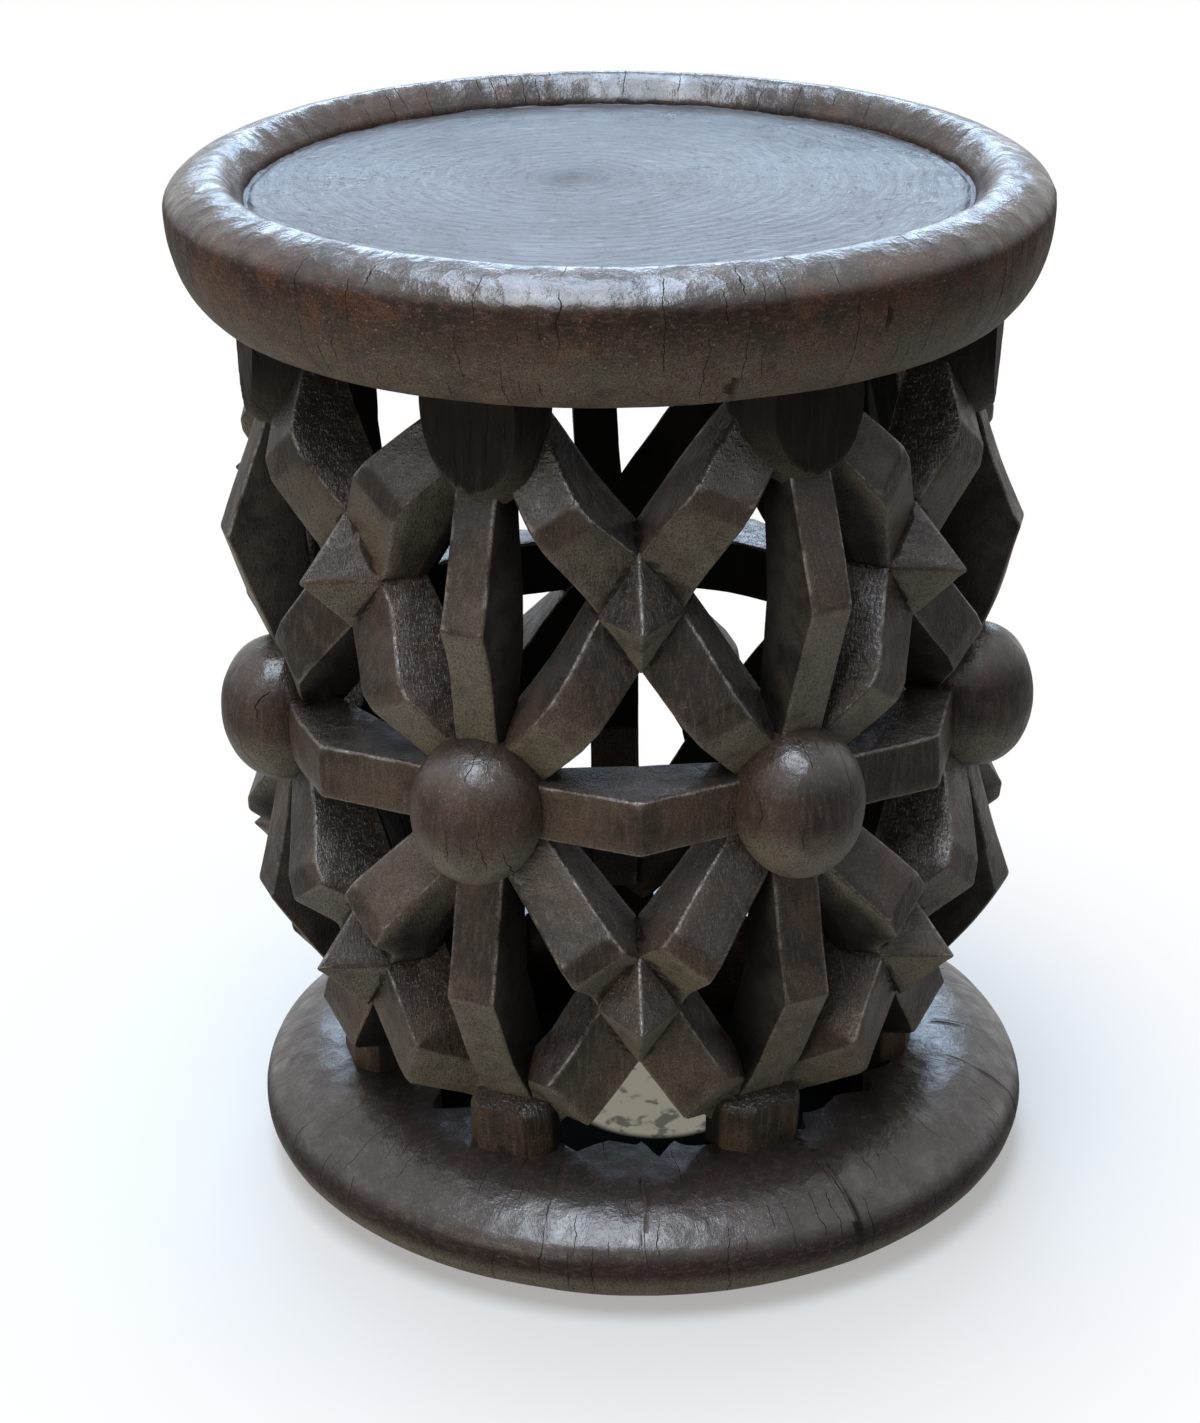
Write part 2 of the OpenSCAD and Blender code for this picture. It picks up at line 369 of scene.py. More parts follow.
def union(parts):
    """One closed skin from several that overlap."""
    objects = [mesh_object("part_of_union", points, faces) for points, faces in parts]
    body = objects[0]
    for other in objects[1:]:
        join = body.modifiers.new("join", "BOOLEAN")
        join.operation = "UNION"
        join.solver = "MANIFOLD"
        join.object = other
    evaluated = body.evaluated_get(bpy.context.evaluated_depsgraph_get())
    mesh = evaluated.to_mesh()
    points = np.array([v.co for v in mesh.vertices])
    faces = [tuple(f.vertices) for f in mesh.polygons]
    evaluated.to_mesh_clear()
    for o in objects:
        data = o.data
        bpy.data.objects.remove(o)
        bpy.data.meshes.remove(data)
    return points, faces


# Outlines
def rounded_section(half_w, low, high, radius, across=5, deep=4, flare=0.0):
    """Points round a rectangle from (-half_w, low) to (half_w, high) with rounded corners.

    With a flare its lower side is wider than its upper side by that much at each end.
    """
    radius = min(radius, half_w * 0.9, (high - low) * 0.45)
    corners = [(half_w, low, -90), (half_w, high, 0), (-half_w, high, 90), (-half_w, low, 180)]
    points = []
    for k, (x, y, turn) in enumerate(corners):
        cx = x - math.copysign(radius, x)
        cy = y + radius if y == low else y - radius
        quarter = [math.radians(turn + step) for step in (0, 30, 60, 90)]
        points += [(cx + radius * math.cos(t), cy + radius * math.sin(t)) for t in quarter]
        nx, ny, _ = corners[(k + 1) % 4]
        nx -= math.copysign(radius, nx)
        ny = ny + radius if ny == low else ny - radius
        x0, y0 = points[-1]
        x1, y1 = nx + radius * math.cos(quarter[-1]), ny + radius * math.sin(quarter[-1])
        steps = deep if k % 2 == 0 else across
        for m in range(1, steps):
            share = m / steps
            points.append((x0 + (x1 - x0) * share, y0 + (y1 - y0) * share))
    points = np.array(points)
    points[:, 0] *= 1 + flare / half_w * (high - points[:, 1]) / (high - low)
    return points


def smooth_profile(points, radius):
    """A function through straight pieces whose corners are rounded over the given distance."""
    xs, ys = [p[0] for p in points], [p[1] for p in points]
    offsets = np.linspace(-radius, radius, 9)

    def value(x):
        return float(np.mean(np.interp(x + offsets, xs, ys)))

    return value


def soft_min(x, limit, softness):
    """The smaller of two values, with a soft turn between them."""
    return -softness * np.log(np.exp(-x / softness) + math.exp(-limit / softness))


def straight(start, end, step):
    """Points from start up to, and not with, end."""
    count = max(1, round(math.dist(start, end) / step))
    start, end = np.array(start), np.array(end)
    return [tuple(start + (end - start) * k / count) for k in range(count)]


def arc(centre, rx, ry, start, end, step):
    """Points on an ellipse from angle start to angle end, without the last one."""
    count = max(2, round(math.radians(abs(end - start)) * max(rx, ry) / step))
    angles = [math.radians(start + (end - start) * k / count) for k in range(count)]
    return [(centre[0] + rx * math.cos(t), centre[1] + ry * math.sin(t)) for t in angles]


def bend(start, corner, end, count):
    """Points on a curve from start to end that leans towards a corner, without the last one."""
    shares = np.linspace(0, 1, count, endpoint=False)[:, None]
    leaning = (1 - shares) ** 2 * np.array(start) + 2 * shares * (1 - shares) * np.array(corner)
    return [tuple(point) for point in leaning + shares**2 * np.array(end)]


# Kneed bars
def stations(start, end, knees):
    """Places along a bar: even steps, with more of them at each knee."""
    count = max(2, round((end - start) / bar_step))
    found = set(np.linspace(start, end, count + 1))
    for knee in knees:
        found -= {x for x in found if abs(x - knee) < knee_clearance * knee_round and start < x < end}
        found |= {knee + k * knee_round for k in knee_stations}
    return sorted(x for x in found if start <= x <= end)


def bar(p, q, a, half_width, front, back, flare, skew=0.0):
    """A bar from p towards q. Front and back are lists of (distance along the bar, radius).

    With a skew, its knees run slantwise: further along the bar by that share of the way across it.
    """
    ahead = unit(q - p)
    out = unit(outward(a) - (outward(a) @ ahead) * ahead)
    side = np.cross(ahead, out)

    def heights(points):
        found = []
        for x, r in points:
            m = p + x * ahead
            found.append((x, r - math.hypot(m[0] - drum_x, m[1])))
        return smooth_profile(found, knee_round)

    front_at, back_at = heights(front), heights(back)
    start, end = front[0][0], front[-1][0]
    inner_knees = [x for x, _ in front[1:-1]] + [x for x, _ in back[1:-1]]
    rings = []
    for x in stations(start, end, inner_knees):
        low, high = back_at(x), front_at(x)
        end_share = abs(2 * (x - start) / (end - start) - 1)
        flare_here = flare * (1 - flare_loss * end_share**4)
        section = rounded_section(half_width(x), low, high, edge_round, flare=flare_here)
        if skew:
            shifted = np.array([front_at(x - skew * across) for across in section[:, 0]])
            section[:, 1] += (shifted - high) * (section[:, 1] - low) / (high - low)
        rings.append(p + x * ahead + section[:, 1:] * out + section[:, :1] * side)
    return loft(rings)


def varied(rng, points, along, out):
    """The same profile with its inner corners moved a little, as no two bars are cut alike."""
    moved = [points[0]]
    for x, r in points[1:-1]:
        moved.append((x + rng.uniform(-along, along), r + rng.uniform(-out, out)))
    return moved + [points[-1]]


def kneed_bar(rng, p, q, a, width, places, front_radii, back_radii):
    """A bar of even width, with a front and a back radius at each place: start, knee and end."""
    front = varied(rng, list(zip(places, front_radii)), *post_stray)
    return bar(p, q, a, lambda x: width / 2, front, list(zip(places, back_radii)), post_flare)


def upper_post(rng, i):
    a = column_angle(i)
    p, q = at(hub_r, a, underside_z), at(hub_r, a, waist_z)
    length = np.linalg.norm(q - p)
    places = (bar_inset, length / 2, length - bar_inset)
    front_radii = (upper_end_r, upper_knee_r, upper_end_r)
    back_radii = (post_back_r, upper_knee_back_r, post_back_r)
    return kneed_bar(rng, p, q, a, post_w, places, front_radii, back_radii)


def lower_post(rng, i):
    a = column_angle(i)
    p, q = at(hub_r, a, waist_z), at(foot_hub_r, a, lowest_z)
    places = (bar_inset, lower_knee_drop, np.linalg.norm(q - p) - post_foot_inset)
    front_radii = (upper_end_r, lower_knee_r, lower_foot_r)
    back_radii = (post_back_r, lower_knee_back_r, lower_foot_back_r)
    return kneed_bar(rng, p, q, a, post_w + low_post_extra_w, places, front_radii, back_radii)


def waist_bar(rng, i):
    p, q = at(hub_r, column_angle(i), waist_z), at(hub_r, column_angle(next_column(i)), waist_z)
    length = np.linalg.norm(q - p)
    places = (bar_inset, length / 2, length - bar_inset)
    front_radii = (waist_end_r, waist_knee_r, waist_end_r)
    back_radii = (waist_end_back_r, waist_mid_back_r, waist_end_back_r)
    return kneed_bar(rng, p, q, gap_angle(i), waist_h, places, front_radii, back_radii)


# Crossings
def arm(rng, p, q, a, proud, skew, cuts, end_r, back_r, end_back_r, run_in):
    """One arm of a crossing, which narrows from p to its end at a boss or a block.

    Cuts are its knee and, where it has one, its neck, as (distance from the crossing, radius).
    """
    reach = np.linalg.norm(q - p) - arm_inset
    start = -arm_overlap * arm_w
    end = reach + run_in
    slimmer = rng.uniform(-width_stray, width_stray)
    knee, knee_radius = cuts[0]

    def half_width(x):
        share = min(max(x / reach, 0), most_narrowing)
        return (arm_w + (arm_end_w - arm_w) * share) / 2 + slimmer * share

    front = [
        (start, valley_r),
        (valley_at, valley_r),
        (knee - facet_before_knee * facet_w, knee_radius - facet_start_sink),
        (knee + facet_after_knee * facet_w, knee_radius - facet_end_sink),
        *cuts[1:],
        (end, end_r - arm_end_sink),
    ]
    front = [(x, r + proud) for x, r in front]
    back = [(start, back_r), (knee, back_r), (end, end_back_r)]
    skew += rng.uniform(-skew_stray, skew_stray)
    return bar(p, q, a, half_width, varied(rng, front, *arm_stray), back, arm_flare, skew)


def pyramid(a, z):
    """The four-sided pyramid at a crossing, as rings from its back to its peak."""
    slant = math.atan2(hub_r * math.sin(math.radians(pitch / 2)), row_step)
    low_r, low_w = pyramid_base_r + 0.8, pyramid_w / 2 - 0.5
    # Its back, and its lower edge, which is a little rounded
    levels = [
        (pyramid_back_r, pyramid_back_w / 2),
        (pyramid_base_r - 2, pyramid_w / 2 - 0.8),
        (pyramid_base_r - 0.4, pyramid_w / 2 - 0.2),
        (low_r, low_w),
    ]
    tip_w = pyramid_tip_w / 2
    for k in range(1, pyramid_steps + 1):
        share = k / pyramid_steps
        levels.append((low_r + (peak_r - low_r) * share, low_w * (1 - share) + tip_w * share))
    rings = []
    for r, half in levels:
        section = rounded_section(half, -half, half, min(edge_round, 0.5 * half), 6, 6)
        x = (section[:, 0] + section[:, 1]) / (2 * math.cos(slant))
        y = (section[:, 0] - section[:, 1]) / (2 * math.sin(slant))
        rings.append(on_drum(np.column_stack([x, y, np.full(len(x), r)]), a, z))
    # A small cap on the tip
    rings.append(rings[-1] * 0.35 + rings[-1].mean(0) * 0.65 + 0.5 * outward(a))
    return loft(rings)


def cross(rng, i, z, upper_z, lower_z, lower_r, rising, dropping, skew=0.0):
    """Four arms and a pyramid. Rising and dropping say how the arms of each direction are cut."""
    a = gap_angle(i)
    p = at(hub_r, a, z)
    left, right = column_angle(i), column_angle(next_column(i))
    parts = [
        arm(rng, p, at(hub_r, left, upper_z), a, 0, 0.0, **rising),
        arm(rng, p, at(lower_r, right, lower_z), a, 0, skew, **dropping),
        arm(rng, p, at(hub_r, right, upper_z), a, cross_step, 0.0, **rising),
        arm(rng, p, at(lower_r, left, lower_z), a, cross_step, -skew, **dropping),
        pyramid(a, z),
    ]
    return union(parts)


boss_arm = {
    "cuts": [(knee_at, knee_r)],
    "end_r": arm_end_r,
    "back_r": arm_back_r,
    "end_back_r": arm_end_back_r,
    "run_in": arm_run_in,
}
rising_arm = {**boss_arm, "cuts": [(low_knee_at, low_knee_r)]}
dropping_arm = {
    "cuts": [(foot_knee_at, foot_knee_r), (foot_neck_at, foot_neck_r)],
    "end_r": foot_arm_end_r,
    "back_r": foot_knee_back_r,
    "end_back_r": foot_arm_back_r,
    "run_in": 0,
}


def upper_cross(rng, i):
    return cross(rng, i, upper_cross_z, underside_z, waist_z, hub_r, boss_arm, boss_arm)


def lower_cross(rng, i):
    return cross(
        rng, i, lower_cross_z, waist_z, lowest_z, foot_hub_r, rising_arm, dropping_arm, foot_skew
    )


# Bosses and blocks
def egg(i, r, z, rw, rh, face_r=None):
    """An egg-shaped boss, cut at the hollow behind. With face_r its front is flat, with a bevel."""
    turns = np.linspace(0, 2 * math.pi, egg_steps, endpoint=False)
    rings = []
    for t in np.linspace(-egg_pole, egg_pole, egg_rows):
        lat = t * math.pi / 2
        x = rw * math.cos(lat) * np.sin(turns)
        out = rw * math.cos(lat) * np.cos(turns)
        if face_r:
            spread = np.sqrt((x / rw) ** 2 + math.sin(lat) ** 2)
            past_flat = np.maximum(spread - half_boss_flat, 0) / (1 - half_boss_flat)
            out = np.where(out >= 0, (face_r - r) - past_flat * half_boss_bevel, out)
        out = -soft_min(-out, r - hollow_r, hollow_softness)
        y = np.full(egg_steps, rh * math.sin(lat))
        rings.append(on_drum(np.column_stack([x, y, out + r]), column_angle(i), z))
    return loft(rings)


def upper_boss(i):
    z = underside_z - upper_boss_drop
    return egg(i, upper_boss_at, z, upper_boss_rw, upper_boss_rh, upper_boss_face_r)


def middle_boss(i):
    return egg(i, boss_tip_r - boss_rw, waist_z, boss_rw, boss_rh)


def block(i):
    """A faceted block on the base ring, as rings from inside the ring to its top."""
    top = base_h + block_h
    shoulder = top - block_shoulder
    half_w, half_top_w = block_w / 2, block_top_w / 2
    above_top = (top + 9, half_top_w)
    half_at = smooth_profile([(0, half_w), (shoulder, half_w), (top, half_top_w), above_top], 0.8)
    bevel_from = (top - block_bevel_h, block_face_r)
    face_at = smooth_profile([(0, block_face_r), bevel_from, (top, block_face_r - block_bevel)], 0.6)
    levels = [(z, 0) for z in np.arange(lowest_z / 2, top - 1.5, block_step)]
    levels += [(top - below, inset) for below, inset in ((1.2, 0), (0.6, 0.3), (0.2, 0.8), (0, 1.6))]
    rings = []
    for z, inset in levels:
        half, face = half_at(z) - inset, face_at(z) - inset
        section = rounded_section(half, block_back_r + inset, face, edge_round, 8, 6)
        reach = half - np.maximum(section[:, 1] - face_at(z) + inset + block_chamfer, 0)
        across = np.clip(section[:, 0], -reach, reach)
        points = np.column_stack([across, np.full(len(section), z), section[:, 1]])
        rings.append(on_drum(points, column_angle(i), 0))
    for shrink in cap_shrinks:
        middle = rings[-1].mean(0)
        rings.append(middle + (rings[-1] - middle) * shrink)
    return loft(rings)


# Seat and base ring
def rim_section():
    """The seat's rim, from the groove up over the crest, down the flank and back under the seat."""
    crest_end = (
        crest_r + rim_w * math.cos(math.radians(rim_crest_turn)),
        widest_z + rim_crest_h * math.sin(math.radians(rim_crest_turn)),
    )
    return (
        bend((dish_r, dish_z), (crest_r - 1, stool_h), crest_end, 8)
        + arc((crest_r, widest_z), rim_w, rim_crest_h, rim_crest_turn, 0, arc_step)
        + arc((crest_r, widest_z), rim_w, rim_flank_h, 0, -90, arc_step)
        + straight((crest_r, underside_z), (underseat_r, underside_z), 6)
        + straight((underseat_r, underside_z), (underseat_r, floor_bottom_z), 6)
        + straight((underseat_r, floor_bottom_z), (dish_r, floor_bottom_z), 9)
        + straight((dish_r, floor_bottom_z), (dish_r, dish_z), 6)
    )


def base_section():
    """The base ring, from its bore over the domed top, down the belly and back under the foot."""
    belly_at = base_r - base_belly_r
    crown_z = base_h - base_crown_r
    flank = (
        belly_at + base_belly_r * math.cos(math.radians(base_flank_a)),
        base_belly_h - base_belly_r * math.sin(math.radians(base_flank_a)),
    )
    join = math.degrees(math.atan2(base_belly_h - crown_z, belly_at - base_crown_at))
    return (
        straight((base_bore_r, base_h), (base_crown_at, base_h), 2.5)
        + arc((base_crown_at, crown_z), base_crown_r, base_crown_r, 90, join, arc_step)
        + arc((belly_at, base_belly_h), base_belly_r, base_belly_r, join - 4, -base_flank_a, arc_step)
        + straight(flank, (foot_r, 0), 3)
        + straight((foot_r, 0), (base_bore_r, 0), 5)
        + straight((base_bore_r, 0), (base_bore_r, base_h), 3)
    )


def notched(section, angle):
    """The base ring's section with a chisel notch in the top edge of its bore."""
    r, z = section[:, 0], section[:, 1]
    wander = noise.noise(Vector((3 * math.sin(math.radians(angle)), 0.01 * angle, 3)))
    place = angle * notch_count / 360 + notch_wander * wander
    stroke = notch_evenness + (1 - notch_evenness) * math.sin(2.4 * place)
    depth = notch_depth * (1 - abs(2 * (place % 1) - 1)) * stroke
    on_top = np.clip((base_crown_at - r) / (base_crown_at - base_bore_r), 0, 1)
    on_wall = np.clip(1 - (base_h - z) / notch_drop, 0, 1) * (r < base_bore_r + 1)
    moved = section.copy()
    moved[:, 0] += depth * np.where(z > base_h - 1, on_top, on_wall)
    return moved


def random_cracks(rng, how_many, first, last, deepest):
    """Cracks for lathe, at any angle, between the given points of the section."""
    cracks = []
    for _ in range(how_many):
        a = rng.uniform(0, 360)
        start = rng.uniform(first, last - shortest_crack)
        end = min(last, start + rng.uniform(shortest_crack, (last - first) * longest_crack_share))
        depth = rng.uniform(*crack_depth_shares) * deepest
        cracks.append((a, start, end, depth, rng.uniform(*crack_half_widths)))
    return cracks


def lathe(section, centre_x, cracks, reshape=None):
    """A ring swept round a vertical axis, with narrow drying cracks at some angles.

    Each crack is (angle, first point of the section, last point, depth, half width). Reshape takes
    the section and an angle, and gives the section that the ring has there.
    """
    section = np.array(section)
    count = len(section)
    tangent = np.roll(section, -1, 0) - np.roll(section, 1, 0)
    normal = np.column_stack([tangent[:, 1], -tangent[:, 0]]) / np.linalg.norm(tangent, axis=1)[:, None]
    even = 360 / ring_steps
    lines = [(k * even, None, 0) for k in range(ring_steps)]
    for crack in cracks:
        slot_angle = (math.floor(crack[0] / even) + 0.5) * even
        width = math.degrees(crack[4] / seat_r)
        lines += [(slot_angle + side * width, crack, side) for side in (-1, 0, 1)]
    lines.sort(key=lambda line: line[0])
    rings = []
    for angle, crack, side in lines:
        points = reshape(section, angle) if reshape else section.copy()
        turn = np.full(count, math.radians(angle))
        if crack:
            _, first, last, depth, _ = crack
            place = (np.arange(count) - first) / max(last - first, 1)
            inside = np.clip(np.sin(np.clip(place, 0, 1) * math.pi), 0, 1) ** 0.5
            wander = [noise.noise(Vector((angle, k * 0.12, 7.0))) for k in range(count)]
            turn = turn + np.radians(np.array(wander) * even * crack_wander)
            if side == 0:
                points = points - normal * (inside * depth)[:, None]
        x, y = centre_x + points[:, 0] * np.sin(turn), -points[:, 0] * np.cos(turn)
        rings.append(np.column_stack([x, y, points[:, 1]]))
    return turned_outward(np.concatenate(rings), ring_faces(len(rings), count, closed=True))


def seat_floor():
    """The dish: a flat disc with a ragged groove round its edge."""
    turns = np.linspace(0, 2 * math.pi, dish_steps, endpoint=False)

    def circle(r, heights):
        return np.column_stack([seat_x + r * np.sin(turns), -r * np.cos(turns), heights])

    top_radii = [3, 8, 14]
    top_radii += list(np.arange(20, dish_r - 7, 3.0))
    top_radii += list(np.arange(dish_r - 6, dish_r + 0.1, 0.75))
    rings = [circle(r, np.full(dish_steps, floor_bottom_z)) for r in (30, 90, dish_r)]
    for r in reversed(top_radii):
        z = np.full(dish_steps, float(dish_z))
        for k, t in enumerate(turns):
            rag = noise.noise(Vector((math.sin(t) * 9, math.cos(t) * 9, 1.0)))
            fine = noise.noise(Vector((math.sin(t) * 40, math.cos(t) * 40, r * 0.3)))
            place = (dish_r - groove_inset + 0.7 * rag - r) / (groove_half_w + 0.5 * fine)
            z[k] -= (groove_depth + 0.9 * rag + 0.5 * fine) * math.exp(-place * place)
        rings.append(circle(r, z))
    return loft(rings)


# Hand and wear
def out_of_true(points):
    """Moves points as the real stool's bars and bosses stray from even spacing."""
    moved = points.copy()
    for turn, height, right, up, reach in departures:
        middle = at(departure_r, turn, height)
        share = np.exp(-0.5 * ((points - middle) ** 2).sum(1) / reach**2)
        moved[:, 0] += right * share
        moved[:, 2] += up * share
    return moved


def carved(points, strength=1.0):
    """Moves every point by a smooth field in space, so that neighbours move together."""
    moved = points.copy()
    for k, (length, size) in enumerate(hand_waves):
        shift = Vector([offset * k for offset in wave_offsets])
        field = np.array([noise.noise_vector(Vector(p) / length + shift) for p in points])
        moved += field * size * strength
    return moved


def wear(mesh, points):
    """How much each point stands on an outer edge, from 0 to 1, or in a crease, from 0 to -1."""
    sharpest_bend = 0.22
    least_square = 0.05
    normals = np.zeros(len(points) * 3)
    mesh.vertices.foreach_get("normal", normals)
    normals = normals.reshape(-1, 3)
    edges = np.zeros(len(mesh.edges) * 2, int)
    mesh.edges.foreach_get("vertices", edges)
    edges = edges.reshape(-1, 2)
    step = points[edges[:, 0]] - points[edges[:, 1]]
    turn = normals[edges[:, 0]] - normals[edges[:, 1]]
    bending = (step * turn).sum(1) / np.maximum((step**2).sum(1), least_square)
    total = np.zeros(len(points))
    hits = np.zeros(len(points))
    for side in (0, 1):
        np.add.at(total, edges[:, side], bending)
        np.add.at(hits, edges[:, side], 1)
    return np.clip(total / np.maximum(hits, 1) / sharpest_bend, -1, 1)


def add_piece(name, node, parts, material, strays=True):
    """Builds one carved piece for one CAD node. The rings don't stray, and only their creases show."""
    points, faces = parts
    points = carved(out_of_true(points)) if strays else carved(points, ring_wave_share)
    piece = mesh_object(name, points, faces)
    mesh = piece.data
    curvature = wear(mesh, points)
    if not strays:
        curvature = np.minimum(curvature, 0)
    mesh.attributes.new("curvature", "FLOAT", "POINT").data.foreach_set("value", curvature.astype(np.float32))
    mesh.materials.append(material)
    mesh.transform(Matrix.Scale(MM, 4))
    mesh.shade_smooth()
    mesh.set_sharp_from_angle(angle=math.radians(sharp_angle))
    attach(piece, "root")
    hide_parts(node)


# Node trees
class Tree:
    """Short calls that add nodes to a material or the world."""

    def __init__(self, owner):
        owner.use_nodes = True
        self.tree = owner.node_tree
        self.tree.nodes.clear()

    def give(self, socket, value):
        if isinstance(value, bpy.types.NodeSocket):
            self.tree.links.new(value, socket)
        else:
            socket.default_value = value

    def node(self, kind, inputs=None, **settings):
        made = self.tree.nodes.new(kind)
        for key, value in settings.items():
            setattr(made, key, value)
        for key, value in (inputs or {}).items():
            self.give(made.inputs[key], value)
        return made

    def calc(self, operation, a, b=0.0, clamp=False):
        return self.node("ShaderNodeMath", {0: a, 1: b}, operation=operation, use_clamp=clamp).outputs[0]

    def times(self, a, b, clamp=False):
        return self.calc("MULTIPLY", a, b, clamp)

    def plus(self, a, b, clamp=False):
        return self.calc("ADD", a, b, clamp)

    def minus(self, a, b):
        return self.calc("SUBTRACT", a, b)

    def vector(self, operation, a, b=(0.0, 0.0, 0.0)):
        made = self.node("ShaderNodeVectorMath", {0: a, 1: b}, operation=operation)
        return made.outputs[1 if operation in ("LENGTH", "DISTANCE", "DOT_PRODUCT") else 0]

    def ramp(self, value, low, high, to_low=0.0, to_high=1.0):
        inputs = {"Value": value, "From Min": low, "From Max": high, "To Min": to_low, "To Max": to_high}
        return self.node("ShaderNodeMapRange", inputs, interpolation_type="SMOOTHSTEP").outputs[0]

    def mix(self, share, a, b):
        return self.node("ShaderNodeMix", {0: share, 6: a, 7: b}, data_type="RGBA").outputs[2]

    def layers(self, colour, layers):
        """The colour with each (share, colour) laid over it in turn."""
        for share, over in layers:
            colour = self.mix(share, colour, over)
        return colour

    def noise(self, vector, scale, detail=3.0, roughness=0.55):
        inputs = {"Vector": vector, "Scale": scale, "Detail": detail, "Roughness": roughness}
        return self.node("ShaderNodeTexNoise", inputs).outputs["Fac"]

    def bump(self, height, strength):
        inputs = {"Height": height, "Strength": strength, "Distance": 1.0}
        return self.node("ShaderNodeBump", inputs).outputs[0]

    def seen(self):
        """1 for what the camera sees, mirrors and glass included, and 0 for light on the object."""
        path = self.node("ShaderNodeLightPath").outputs
        straight_or_through = self.calc("MAXIMUM", path["Is Camera Ray"], path["Is Transmission Ray"])
        return self.calc("MAXIMUM", straight_or_through, path["Is Glossy Ray"])


def rgb(r, g, b):
    return (r, g, b, 1.0)


# Colours, as linear red, green and blue. First the stain, what wear and dusting leave on it, and painted
# light and shade
stain = rgb(0.014, 0.009, 0.007)
red_wear = rgb(0.095, 0.036, 0.018)
pale_fibre = rgb(0.090, 0.063, 0.046)
# Olive painted bounce light for the sides that face down
olive_bounce_light = rgb(0.128, 0.109, 0.076)
# Grey dusting that is partly painted light on the tops
grey_dust_and_top_light = rgb(0.078, 0.062, 0.060)
chisel_mark = rgb(0.100, 0.086, 0.080)
# Edges lightened by wear and by a painted glint
rubbed_edge_glint = rgb(0.140, 0.115, 0.095)
pale_speck = rgb(0.220, 0.150, 0.100)
# Black for the cracks and for painted shade in creases and deep on the sides
crack_and_shade_black = rgb(0.005, 0.004, 0.003)
# A lighter painted shade for the sides nearer the front
shallow_shade = rgb(0.032, 0.025, 0.019)
seat_shade = rgb(0.009, 0.007, 0.006)
dark_pore = rgb(0.008, 0.006, 0.005)

# The dish: a grey-blue tone and scratches that are partly painted sheen, and dark for pits and for
# painted shade in the groove
dish_dark = rgb(0.014, 0.013, 0.014)
dish_light_and_sheen = rgb(0.060, 0.058, 0.062)
dish_scratch_and_sheen = rgb(0.165, 0.170, 0.182)
dish_ring = rgb(0.016, 0.013, 0.012)
dish_dirt_and_shade = rgb(0.012, 0.010, 0.010)

# The floor and the world, with painted shadow on the floor inside the ring and a glowing painted sunlit
# patch there
white = rgb(1.0, 1.0, 1.0)
floor_pale = rgb(0.80, 0.79, 0.77)
painted_floor_shadow = rgb(0.03, 0.03, 0.028)
lit_patch_pale = rgb(0.24, 0.225, 0.18)
lit_patch_dark = rgb(0.09, 0.086, 0.070)


class LogFrame:
    """Places and directions in the log: the object's own coordinates and the way from its axis."""

    def __init__(self, t):
        self.place = t.node("ShaderNodeTexCoord").outputs["Object"]
        from_axis = t.vector("SUBTRACT", self.place, (drum_x * MM, 0.0, 0.0))
        level = t.vector("MULTIPLY", from_axis, (1.0, 1.0, 0.0))
        self.radius = t.vector("LENGTH", level)
        apart = t.node("ShaderNodeSeparateXYZ", {0: level}).outputs
        self.turn = t.calc("ARCTAN2", apart[0], apart[1])
        self.height = t.node("ShaderNodeSeparateXYZ", {0: self.place}).outputs[2]
        normal = t.node("ShaderNodeNewGeometry").outputs["Normal"]
        self.facing_out = t.vector("DOT_PRODUCT", normal, t.vector("NORMALIZE", level))
        self.facing_up = t.node("ShaderNodeSeparateXYZ", {0: normal}).outputs[2]
        self.curvature = t.node("ShaderNodeAttribute", attribute_name="curvature").outputs["Fac"]


def hairline_cracks(t, log, share):
    """Fine drying cracks that follow the log's rays: 1 in a crack, 0 beside it."""
    turn = t.times(log.turn, crack_lines / (2 * math.pi))
    count = t.plus(turn, t.times(t.noise(log.place, 55.0), 1.3))
    middle = t.calc("ABSOLUTE", t.minus(t.calc("FRACT", count), 0.5))
    line = t.ramp(middle, 0.010, 0.030, 1.0, 0.0)
    along = {
        "X": t.times(t.calc("FLOOR", count), 7.31),
        "Y": t.times(log.height, 32.0),
        "Z": t.times(log.radius, 32.0),
    }
    wavering = t.noise(t.node("ShaderNodeCombineXYZ", along).outputs[0], 1.0, 1.0)
    return t.times(line, t.ramp(wavering, 1 - share, 1 - share + 0.06))


